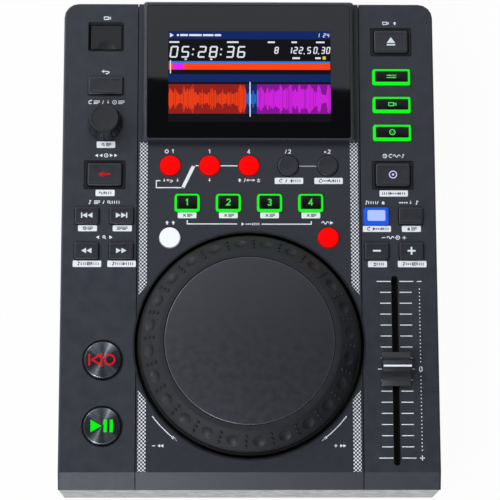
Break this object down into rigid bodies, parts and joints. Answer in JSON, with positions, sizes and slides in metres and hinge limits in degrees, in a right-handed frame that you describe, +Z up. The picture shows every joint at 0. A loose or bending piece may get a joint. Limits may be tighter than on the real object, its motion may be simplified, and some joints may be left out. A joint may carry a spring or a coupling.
{
  "type": "dj player",
  "caption": "Table-top media player for a disc jockey: large jog wheel, colour display, pitch fader, browse knob, covered stick socket and push buttons that travel.",
  "frame": {"origin": "on the table under the middle of the overall box, which includes the audio jacks behind the rear panel", "axes": "+Z up, +X to the user's right, +Y away from the user, so the display end is +Y and the jog wheel end is -Y"},
  "size_m": [0.218, 0.2964, 0.063],
  "materials": {
    "satin_black": "smooth satin black",
    "grained_black": "finely grained black",
    "soft_black": "matt rubber",
    "wheel_black": "soft-touch black",
    "gloss_black": "gloss",
    "smoked_lens": "clear smoked window",
    "display_panel": "lit display",
    "steel": "bright",
    "bronze": "sintered bearing bronze",
    "circuit_board": "green solder mask",
    "dark_cap": "satin",
    "spun_cap": "metallised with a spun sheen",
    "blue_cap": "lit blue",
    "green_cap": "lit green",
    "red_cap": "lit red",
    "white_cap": "lit white"
  },
  "bodies": {
    "base": {"bottom_case": "satin_black", "left_cover": "grained_black", "centre_cover": "satin_black", "right_cover": "grained_black", "display_housing": "satin_black", "display_lens": "smoked_lens", "display_module": "display_panel", "jog_bearing": "bronze", "left_board": "circuit_board", "centre_board": "circuit_board", "right_board": "circuit_board", "main_board": "circuit_board", "usb_board": "circuit_board", "pitch_fader_body": "gloss_black", "usb_socket": "steel", "power_inlet": "gloss_black", "power_switch_body": "gloss_black", "audio_jacks": "gloss_black", "computer_socket": "steel", "foot_front_left": "soft_black", "foot_front_right": "soft_black", "foot_rear_left": "soft_black", "foot_rear_right": "soft_black"},
    "jog": {"jog_wheel": "wheel_black", "jog_touch_plate": "satin_black", "jog_spindle": "steel"},
    "pitch": {"pitch_cap": "wheel_black", "pitch_lever": "steel"},
    "lid": {"usb_lid": "gloss_black"},
    "browse_stem": {"browse_shaft": "steel"},
    "browse": {"browse_knob": "wheel_black"},
    "rocker": {"power_rocker": "wheel_black"},
    "play": {"play_button": "spun_cap"},
    "cue": {"cue_button": "spun_cap"},
    "back": {"back_button": "dark_cap"},
    "direction": {"direction_button": "dark_cap"},
    "track_back": {"track_back_button": "dark_cap"},
    "track_next": {"track_next_button": "dark_cap"},
    "search_back": {"search_back_button": "dark_cap"},
    "search_next": {"search_next_button": "dark_cap"},
    "eject": {"eject_button": "dark_cap"},
    "setup": {"setup_button": "green_cap"},
    "source": {"source_button": "green_cap"},
    "link": {"link_button": "green_cap"},
    "jog_mode": {"jog_mode_button": "dark_cap"},
    "key_lock": {"key_lock_button": "blue_cap"},
    "tap": {"tap_button": "dark_cap"},
    "pitch_down": {"pitch_down_button": "dark_cap"},
    "pitch_up": {"pitch_up_button": "dark_cap"},
    "auto_loop": {"auto_loop_button": "red_cap"},
    "loop_in": {"loop_in_button": "red_cap"},
    "loop_out": {"loop_out_button": "red_cap"},
    "loop_halve": {"loop_halve_button": "dark_cap"},
    "loop_double": {"loop_double_button": "dark_cap"},
    "hot_cue_1": {"hot_cue_1_button": "green_cap"},
    "hot_cue_2": {"hot_cue_2_button": "green_cap"},
    "hot_cue_3": {"hot_cue_3_button": "green_cap"},
    "hot_cue_4": {"hot_cue_4_button": "green_cap"},
    "shift": {"shift_button": "white_cap"},
    "slip": {"slip_button": "red_cap"}
  },
  "joints": [
    {"name": "jog_turn", "type": "hinge", "parent": "base", "child": "jog", "pos_m": [0, -0.06505, 0.049], "axis": [0, 0, 1], "continuous": true},
    {"name": "pitch_slide", "type": "slide", "parent": "base", "child": "pitch", "axis": [0, -1, 0], "range_m": [-0.051, 0.051]},
    {"name": "usb_lid_turn", "type": "hinge", "parent": "base", "child": "lid", "pos_m": [-0.0841, 0.12645, 0.0464], "axis": [-1, 0, 0], "range_deg": [0, 90]},
    {"name": "browse_push", "type": "slide", "parent": "base", "child": "browse_stem", "axis": [0, 0, -1], "range_m": [0, 0.0008], "stiffness_N_per_m": 800, "springref_m": -0.002},
    {"name": "browse_turn", "type": "hinge", "parent": "browse_stem", "child": "browse", "pos_m": [-0.0841, 0.06645, 0.049], "axis": [0, 0, 1], "continuous": true},
    {"name": "power_rock", "type": "hinge", "parent": "base", "child": "rocker", "pos_m": [-0.08, 0.13995, 0.0255], "axis": [0, 0, -1], "range_deg": [0, 22]},
    {"name": "play_press", "type": "slide", "parent": "base", "child": "play", "axis": [0, 0, -1], "range_m": [0, 0.001], "stiffness_N_per_m": 500, "springref_m": -0.002},
    {"name": "cue_press", "type": "slide", "parent": "base", "child": "cue", "axis": [0, 0, -1], "range_m": [0, 0.001], "stiffness_N_per_m": 500, "springref_m": -0.002},
    {"name": "eject_press", "type": "slide", "parent": "base", "child": "eject", "axis": [0, 0, -1], "range_m": [0, 0.001], "stiffness_N_per_m": 500, "springref_m": -0.002},
    {"name": "direction_press", "type": "slide", "parent": "base", "child": "direction", "axis": [0, 0, -1], "range_m": [0, 0.001], "stiffness_N_per_m": 500, "springref_m": -0.002},
    {"name": "jog_mode_press", "type": "slide", "parent": "base", "child": "jog_mode", "axis": [0, 0, -1], "range_m": [0, 0.001], "stiffness_N_per_m": 500, "springref_m": -0.002},
    {"name": "back_press", "type": "slide", "parent": "base", "child": "back", "axis": [0, 0, -1], "range_m": [0, 0.001], "stiffness_N_per_m": 500, "springref_m": -0.002},
    {"name": "shift_press", "type": "slide", "parent": "base", "child": "shift", "axis": [0, 0, -1], "range_m": [0, 0.001], "stiffness_N_per_m": 500, "springref_m": -0.002},
    {"name": "slip_press", "type": "slide", "parent": "base", "child": "slip", "axis": [0, 0, -1], "range_m": [0, 0.001], "stiffness_N_per_m": 500, "springref_m": -0.002},
    {"name": "track_back_press", "type": "slide", "parent": "base", "child": "track_back", "axis": [0, 0, -1], "range_m": [0, 0.001], "stiffness_N_per_m": 500, "springref_m": -0.002},
    {"name": "track_next_press", "type": "slide", "parent": "base", "child": "track_next", "axis": [0, 0, -1], "range_m": [0, 0.001], "stiffness_N_per_m": 500, "springref_m": -0.002},
    {"name": "search_back_press", "type": "slide", "parent": "base", "child": "search_back", "axis": [0, 0, -1], "range_m": [0, 0.001], "stiffness_N_per_m": 500, "springref_m": -0.002},
    {"name": "search_next_press", "type": "slide", "parent": "base", "child": "search_next", "axis": [0, 0, -1], "range_m": [0, 0.001], "stiffness_N_per_m": 500, "springref_m": -0.002},
    {"name": "setup_press", "type": "slide", "parent": "base", "child": "setup", "axis": [0, 0, -1], "range_m": [0, 0.001], "stiffness_N_per_m": 500, "springref_m": -0.002},
    {"name": "source_press", "type": "slide", "parent": "base", "child": "source", "axis": [0, 0, -1], "range_m": [0, 0.001], "stiffness_N_per_m": 500, "springref_m": -0.002},
    {"name": "link_press", "type": "slide", "parent": "base", "child": "link", "axis": [0, 0, -1], "range_m": [0, 0.001], "stiffness_N_per_m": 500, "springref_m": -0.002},
    {"name": "key_lock_press", "type": "slide", "parent": "base", "child": "key_lock", "axis": [0, 0, -1], "range_m": [0, 0.001], "stiffness_N_per_m": 500, "springref_m": -0.002},
    {"name": "tap_press", "type": "slide", "parent": "base", "child": "tap", "axis": [0, 0, -1], "range_m": [0, 0.001], "stiffness_N_per_m": 500, "springref_m": -0.002},
    {"name": "pitch_down_press", "type": "slide", "parent": "base", "child": "pitch_down", "axis": [0, 0, -1], "range_m": [0, 0.001], "stiffness_N_per_m": 500, "springref_m": -0.002},
    {"name": "pitch_up_press", "type": "slide", "parent": "base", "child": "pitch_up", "axis": [0, 0, -1], "range_m": [0, 0.001], "stiffness_N_per_m": 500, "springref_m": -0.002},
    {"name": "auto_loop_press", "type": "slide", "parent": "base", "child": "auto_loop", "axis": [0, 0, -1], "range_m": [0, 0.001], "stiffness_N_per_m": 500, "springref_m": -0.002},
    {"name": "loop_in_press", "type": "slide", "parent": "base", "child": "loop_in", "axis": [0, 0, -1], "range_m": [0, 0.001], "stiffness_N_per_m": 500, "springref_m": -0.002},
    {"name": "loop_out_press", "type": "slide", "parent": "base", "child": "loop_out", "axis": [0, 0, -1], "range_m": [0, 0.001], "stiffness_N_per_m": 500, "springref_m": -0.002},
    {"name": "loop_halve_press", "type": "slide", "parent": "base", "child": "loop_halve", "axis": [0, 0, -1], "range_m": [0, 0.001], "stiffness_N_per_m": 500, "springref_m": -0.002},
    {"name": "loop_double_press", "type": "slide", "parent": "base", "child": "loop_double", "axis": [0, 0, -1], "range_m": [0, 0.001], "stiffness_N_per_m": 500, "springref_m": -0.002},
    {"name": "hot_cue_1_press", "type": "slide", "parent": "base", "child": "hot_cue_1", "axis": [0, 0, -1], "range_m": [0, 0.001], "stiffness_N_per_m": 500, "springref_m": -0.002},
    {"name": "hot_cue_2_press", "type": "slide", "parent": "base", "child": "hot_cue_2", "axis": [0, 0, -1], "range_m": [0, 0.001], "stiffness_N_per_m": 500, "springref_m": -0.002},
    {"name": "hot_cue_3_press", "type": "slide", "parent": "base", "child": "hot_cue_3", "axis": [0, 0, -1], "range_m": [0, 0.001], "stiffness_N_per_m": 500, "springref_m": -0.002},
    {"name": "hot_cue_4_press", "type": "slide", "parent": "base", "child": "hot_cue_4", "axis": [0, 0, -1], "range_m": [0, 0.001], "stiffness_N_per_m": 500, "springref_m": -0.002}
  ]
}
